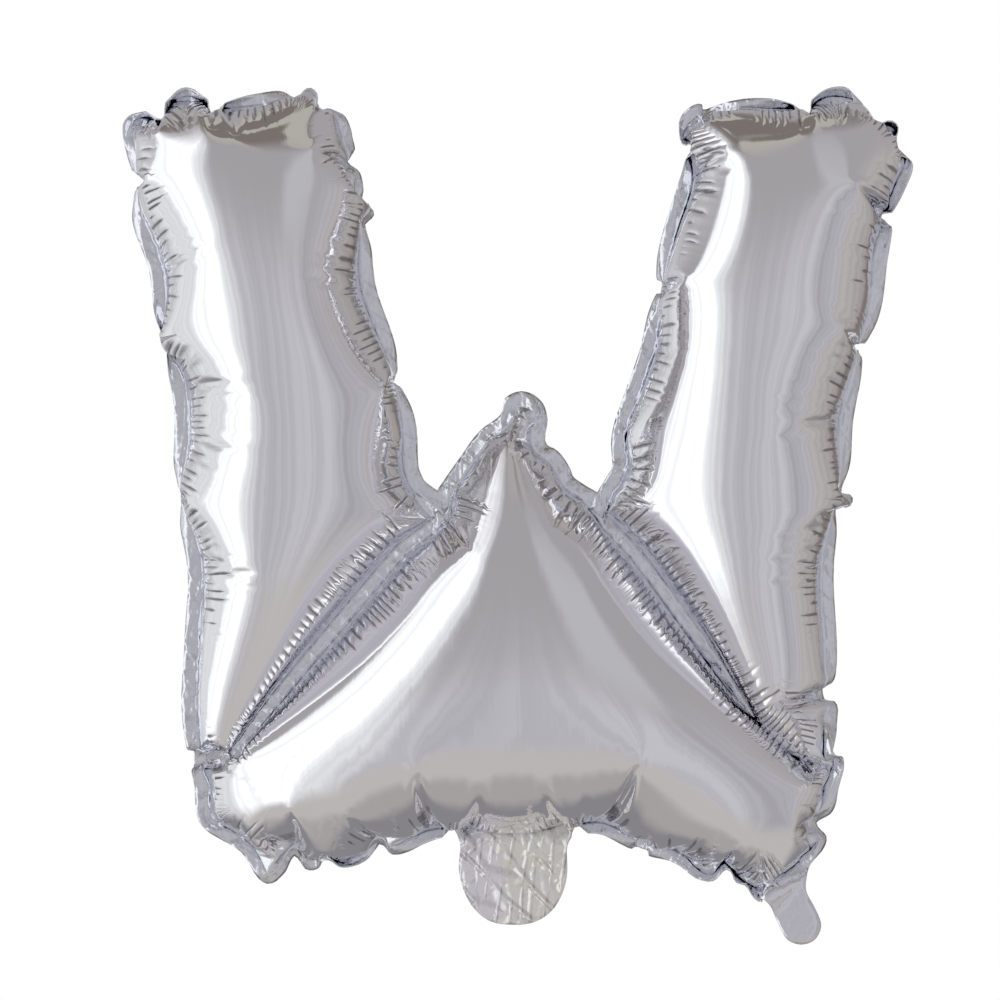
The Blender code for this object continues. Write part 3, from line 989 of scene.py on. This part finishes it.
mixed = add_node(room, "ShaderNodeMixShader", {0: by_camera, 1: lit, 2: seen}).outputs[0]
add_node(room, "ShaderNodeOutputWorld", {0: mixed})
print("room:", len(BEARINGS), "bearings,", len(room.nodes), "nodes")

# %% [markdown]
# ## The floor
#
# The balloon hangs in front of white paper, well above a pale floor that only the higher views
# take in. The floor lights nothing, so the film mirrors the room and not a round plate.

# %% A pale floor, below the picture
FLOOR_DROP = 0.75
FLOOR_RADIUS = 2.2
FLOOR_TONES = (0.90, 0.90, 0.91), (0.94, 0.94, 0.945)

disc = bmesh.new()
bmesh.ops.create_circle(disc, cap_ends=True, segments=96, radius=FLOOR_RADIUS)
bmesh.ops.translate(disc, verts=disc.verts, vec=(0, 0, -FLOOR_DROP))
floor_mesh = bpy.data.meshes.new("floor")
disc.to_mesh(floor_mesh)
disc.free()
floor = bpy.data.objects.new("floor", floor_mesh)
bpy.context.scene.collection.objects.link(floor)
paper = bpy.data.materials.new("floor_paper")
paper.use_nodes = True
tree = paper.node_tree
tree.nodes.clear()
tone = add_node(tree, "ShaderNodeTexNoise", {"Scale": 3.0, "Detail": 3.0}).outputs[0]
pale = ramp(tree, tone, [(0.3, FLOOR_TONES[0]), (0.7, FLOOR_TONES[1])])
shown = add_node(tree, "ShaderNodeEmission", {0: pale, 1: 1.0}).outputs[0]
hidden = add_node(tree, "ShaderNodeBsdfTransparent").outputs[0]
light = add_node(tree, "ShaderNodeLightPath").outputs["Is Camera Ray"]
above = sums(tree, "SUBTRACT", 1.0, add_node(tree, "ShaderNodeNewGeometry").outputs["Backfacing"])
both = add_node(tree, "ShaderNodeMixShader", {0: times(tree, light, above), 1: hidden, 2: shown})
add_node(tree, "ShaderNodeOutputMaterial", {0: both.outputs[0]})
floor_mesh.materials.append(paper)
floor.visible_glossy = False
floor.visible_diffuse = False
floor.visible_shadow = False
print("floor:", FLOOR_DROP, "m below the middle of the letter")

# %% [markdown]
# ## Finishes
#
# Silvered film is nylon with a skin of aluminium. Close to, it isn't a perfect mirror: the rolled
# sheet has faint straight draw lines, handling leaves soft dents and hazy patches, and film that
# was gathered is crazed with tiny creases. Four node groups hold what the finishes are made of:
# the height of that grain, the haze as a roughness, the creases of slack film as a height, and
# masks of the ribs.

# %% Helpers for groups
def group(name, inputs, outputs):
    made = bpy.data.node_groups.new(name, "ShaderNodeTree")
    for key, value in inputs.items():
        socket = made.interface.new_socket(name=key, in_out="INPUT", socket_type="NodeSocketFloat")
        socket.default_value = value
    for key in outputs:
        made.interface.new_socket(name=key, in_out="OUTPUT", socket_type="NodeSocketFloat")
    return made, add_node(made, "NodeGroupInput").outputs, add_node(made, "NodeGroupOutput").inputs


def stored(tree, name):
    """A value that is kept on the points: the place in the flat sheet, or else a number."""
    node = add_node(tree, "ShaderNodeAttribute", attribute_name=name)
    return node.outputs["Vector" if name == "cut" else "Fac"]


def cell_edges(tree, where, scale):
    """The distance from the edges of a net of cells."""
    sockets = {"Vector": where, "Scale": scale}
    cells = add_node(tree, "ShaderNodeTexVoronoi", sockets, feature="DISTANCE_TO_EDGE")
    return cells.outputs["Distance"]


# %% Grain and haze
def film_grain():
    """Heights of a rolled film: draw lines, soft dents, and fine creases near the seam."""
    made, given, out = group("film_grain", {"Dents": 1.0, "Lines": 1.0, "Creases": 1.0}, ["Height"])
    cut = stored(made, "cut")
    away = stored(made, "seam_away")
    dents = noise(made, cut, 55.0, Detail=2.0, Roughness=0.4)
    drawn_out = add_node(made, "ShaderNodeMapping", {"Vector": cut, "Scale": (420.0, 9.0, 1.0)}).outputs[0]
    lines = noise(made, drawn_out, 1.0, Detail=2.0)
    sharp = between(made, cell_edges(made, cut, 160.0), 0.0, 0.10)
    near = between(made, away, 0.002, 0.016, 1.0, 0.0)
    total = times(made, dents, given["Dents"], 0.00030)
    total = sums(made, "MULTIPLY_ADD", times(made, lines, given["Lines"]), 0.000016, total)
    folded = times(made, sharp, near, given["Creases"])
    made.links.new(sums(made, "MULTIPLY_ADD", folded, 0.00006, total), out["Height"])
    return made


def film_haze():
    """Roughness of handled film: a low base, hazy patches, and more where it is gathered."""
    made, given, out = group("film_haze", {"Base": 0.06, "Patches": 0.05, "Seam": 0.08}, ["Roughness"])
    cut = stored(made, "cut")
    away = stored(made, "seam_away")
    cloud = noise(made, cut, 28.0, Detail=4.0, Roughness=0.6)
    hazy = times(made, between(made, cloud, 0.42, 0.72), given["Patches"])
    worn = times(made, between(made, away, 0.0, 0.012, 1.0, 0.0), given["Seam"])
    total = sums(made, "ADD", sums(made, "ADD", hazy, worn), given["Base"])
    made.links.new(total, out["Roughness"])
    return made


GRAIN, HAZE = film_grain(), film_haze()
print("groups:", GRAIN.name, HAZE.name)

# %% Creases of slack film
NETS = [(-0.75, 120.0, 26.0, 0.0011), (0.12, 190.0, 34.0, 0.0006), (0.9, 150.0, 60.0, 0.0004)]


def film_creases():
    """Slack film, creased every way: three nets of long cells, whose edges stand up."""
    made, given, out = group("film_creases", {"Depth": 1.0}, ["Height"])
    cut, height = stored(made, "cut"), 0.0
    for turn, across, along, deep in NETS:
        laid = add_node(made, "ShaderNodeMapping", {"Vector": cut, "Rotation": (0.0, 0.0, turn)}).outputs[0]
        laid = add_node(made, "ShaderNodeMapping", {"Vector": laid, "Scale": (across, along, 1.0)}).outputs[0]
        edge = between(made, cell_edges(made, laid, 1.0), 0.0, 0.22, 1.0, 0.0)
        height = sums(made, "MULTIPLY_ADD", edge, deep, height)
    made.links.new(times(made, height, given["Depth"]), out["Height"])
    return made


CREASES = film_creases()
print("group:", CREASES.name, "with", len(NETS), "nets")


# %% Masks of the ribs
def film_ribs():
    """Gathered film: crisp short folds near the seam, each with ends of its own, and long faint ones."""
    made, _, out = group("film_ribs", {}, ["Valley", "Ripple"])
    phase, away = stored(made, "rib"), stored(made, "seam_away")
    lost = stored(made, "gathered")
    number = sums(made, "ROUND", phase)
    chance, other = (
        add_node(made, "ShaderNodeTexWhiteNoise", {"W": value}, noise_dimensions="1D").outputs["Value"]
        for value in (number, sums(made, "ADD", number, 0.37))
    )
    crown = sums(made, "ABSOLUTE", sums(made, "SINE", times(made, phase, math.pi)))
    valley = sums(made, "SUBTRACT", 1.0, sums(made, "POWER", crown, RIB_POWER))
    start = sums(made, "MULTIPLY_ADD", chance, 0.0025, 0.0055)
    end = sums(made, "MULTIPLY_ADD", other, 0.014, 0.018)
    inner = sums(made, "DIVIDE", sums(made, "SUBTRACT", away, start), 0.0012, clamp=True)
    outer = sums(made, "DIVIDE", sums(made, "SUBTRACT", end, away), 0.0050, clamp=True)
    shown = times(made, inner, outer, between(made, lost, 0.001, 0.012))
    made.links.new(times(made, valley, shown), out["Valley"])
    fading = between(made, away, 0.012, 0.048, 1.0, 0.0)
    faint = times(made, fading, between(made, lost, 0.001, 0.03))
    made.links.new(times(made, times(made, crown, crown), faint), out["Ripple"])
    return made


RIBS = film_ribs()
print("group:", RIBS.name)


# %% Helpers for a finish
def use(tree, made, **values):
    """Place a group in a material. It gives one output, or all of them where there are more."""
    node = tree.nodes.new("ShaderNodeGroup")
    node.node_tree = made
    for key, value in values.items():
        node.inputs[key].default_value = value
    return node.outputs if len(node.outputs) > 1 else node.outputs[0]


def finish(name, colour, metallic=1.0):
    """A new material, its shader and its tree."""
    made = bpy.data.materials.new(name)
    made.use_nodes = True
    shader = made.node_tree.nodes["Principled BSDF"]
    shader.inputs["Base Color"].default_value = (*colour, 1)
    shader.inputs["Metallic"].default_value = metallic
    return made, shader, made.node_tree


def relief(tree, shader, height, strength=1.0, distance=1.0):
    bump = add_node(tree, "ShaderNodeBump", {"Height": height, "Strength": strength, "Distance": distance})
    tree.links.new(bump.outputs[0], shader.inputs["Normal"])


# %% [markdown]
# The panels are the brightest finish. Near the seam their colour is painted a little bluer and duller,
# a painted reflection of light that is caught between folds too small to model. At the pinches and in
# the rib valleys their colour is painted dark, as painted shade in those folds.

# %% Silver foil
def silver_foil():
    made, shader, tree = finish("silver_foil", (0.92, 0.92, 0.94))
    away = stored(tree, "seam_away")
    # Painted reflection: the colour is bluer and duller near the seam, for light caught between small folds.
    colour = blend(tree, between(tree, away, 0.0, 0.010, 1.0, 0.0), (0.925, 0.92, 0.94), (0.80, 0.82, 0.87))
    # Painted shade: where the film is most gathered, at the pinches, its colour is darkened to navy.
    pinch_shade = between(tree, stored(tree, "gathered"), 0.10, 0.30, 0.0, 0.6)
    colour = blend(tree, pinch_shade, colour, (0.20, 0.22, 0.28))
    valley, ripple = use(tree, RIBS)
    # Painted shade: the colour is darkened in the valleys of the ribs.
    colour = blend(tree, between(tree, valley, 0.25, 0.70, 0.0, 0.80), colour, (0.22, 0.20, 0.22))
    tree.links.new(colour, shader.inputs["Base Color"])
    tree.links.new(use(tree, HAZE, Base=0.035, Patches=0.035, Seam=0.05), shader.inputs["Roughness"])
    grain = use(tree, GRAIN, Dents=0.35, Lines=1.0, Creases=0.5)
    folded = sums(tree, "MULTIPLY_ADD", valley, -0.00045, grain)
    relief(tree, shader, sums(tree, "MULTIPLY_ADD", ripple, 0.00007, folded))
    return made


SILVER = silver_foil()
print(SILVER.name, len(SILVER.node_tree.nodes), "nodes")


# %% [markdown]
# The welded band is two sheets pressed flat by a hot bar, which leaves fine cross bars in it.
# The bars are drawn across the seam with the stored length along it. Where the weld is gathered
# its colour is painted dark, as painted shade in its folds.

# %% Welded foil
def welded_foil(name, bars, creased, colour):
    made, shader, tree = finish(name, colour)
    cut = stored(tree, "cut")
    along = stored(tree, "seam_along")
    wave = sums(tree, "SINE", times(tree, along, 2 * math.pi / 0.0012))
    patchy = noise(tree, cut, 60.0, Detail=3.0)
    pressed = times(tree, wave, between(tree, patchy, 0.35, 0.65, 0.1, 1.0))
    # Painted shade: where the weld is gathered its colour is darkened to navy, for the shade in its folds.
    folded = between(tree, stored(tree, "gathered"), 0.06, 0.26, 0.0, 0.7)
    tree.links.new(blend(tree, folded, colour, (0.16, 0.18, 0.25)), shader.inputs["Base Color"])
    height = sums(tree, "MULTIPLY_ADD", pressed, 0.000012 * bars, use(tree, CREASES, Depth=creased))
    tree.links.new(use(tree, HAZE, Base=0.09, Patches=0.12, Seam=0.03), shader.inputs["Roughness"])
    relief(tree, shader, sums(tree, "ADD", height, use(tree, GRAIN, Dents=1.2, Lines=1.0, Creases=0.6)))
    return made


WELDED = welded_foil("welded_foil", 1.0, 0.28, (0.80, 0.81, 0.85))
TAB = welded_foil("tab_foil", 0.3, 0.08, (0.84, 0.84, 0.87))
print(WELDED.name, "and", TAB.name, len(WELDED.node_tree.nodes), "nodes each")


# %% [markdown]
# The neck film is the same foil, but slack, so it is hazier, paler, and creased all over. The
# valve sleeve between the two is clear plastic with a yellow cast, and is hardly seen except
# along the neck's edges.

# %% Neck and valve films
def neck_foil():
    made, shader, tree = finish("neck_foil", (0.92, 0.91, 0.92), 0.55)
    cut = stored(tree, "cut")
    east = add_node(tree, "ShaderNodeSeparateXYZ", {0: cut}).outputs[0]
    cloud = noise(tree, cut, 40.0, Detail=2.0)
    side = sums(tree, "MULTIPLY_ADD", sums(tree, "SUBTRACT", cloud, 0.5), 0.03, east)
    colour = blend(tree, between(tree, side, -0.014, -0.008), (0.93, 0.91, 0.94), (0.93, 0.92, 0.85))
    tree.links.new(colour, shader.inputs["Base Color"])
    tree.links.new(use(tree, HAZE, Base=0.16, Patches=0.16, Seam=0.02), shader.inputs["Roughness"])
    grain = use(tree, GRAIN, Dents=1.5, Lines=0.6, Creases=0.2)
    relief(tree, shader, sums(tree, "ADD", grain, use(tree, CREASES, Depth=1.0)))
    return made


def valve_plastic():
    made, shader, tree = finish("valve_plastic", (0.80, 0.80, 0.70), 0.0)
    shader.inputs["Alpha"].default_value = 0.7
    shader.inputs["IOR"].default_value = 1.49
    tree.links.new(use(tree, HAZE, Base=0.2, Patches=0.15, Seam=0.0), shader.inputs["Roughness"])
    relief(tree, shader, use(tree, GRAIN, Dents=1.0, Lines=1.0, Creases=0.4))
    return made


NECK, CLEAR = neck_foil(), valve_plastic()
print(NECK.name, "and", CLEAR.name)


# %% [markdown]
# ## Putting it together
#
# Everything rides on the one body. Each piece stands for the plain solid of its name in the
# imported model, and takes the finish given beside it.

# %% Finishes, rides and what each piece stands for
PIECES = [
    (front_film, SILVER, "silver_foil", ["front_panel"]),
    (back_film, SILVER, "silver_foil", ["back_panel"]),
    (edge_weld, WELDED, "sealed_foil", ["edge_seal"]),
    (slit_weld_left, WELDED, "sealed_foil", ["web_seal_left"]),
    (slit_weld_right, WELDED, "sealed_foil", ["web_seal_right"]),
    (hanging_tab, TAB, "sealed_foil", ["hanging_tab"]),
    (neck_front, NECK, "silver_foil", ["neck_front_film"]),
    (neck_back, NECK, "silver_foil", ["neck_back_film"]),
    (valve, CLEAR, "valve_film", ["valve_film"]),
]
for piece, material, slot, nodes in PIECES:
    piece.data.materials.append(material)
    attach(piece, "root")
    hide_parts(*nodes)
    print(f"{piece.name} stands for {nodes[0]}")
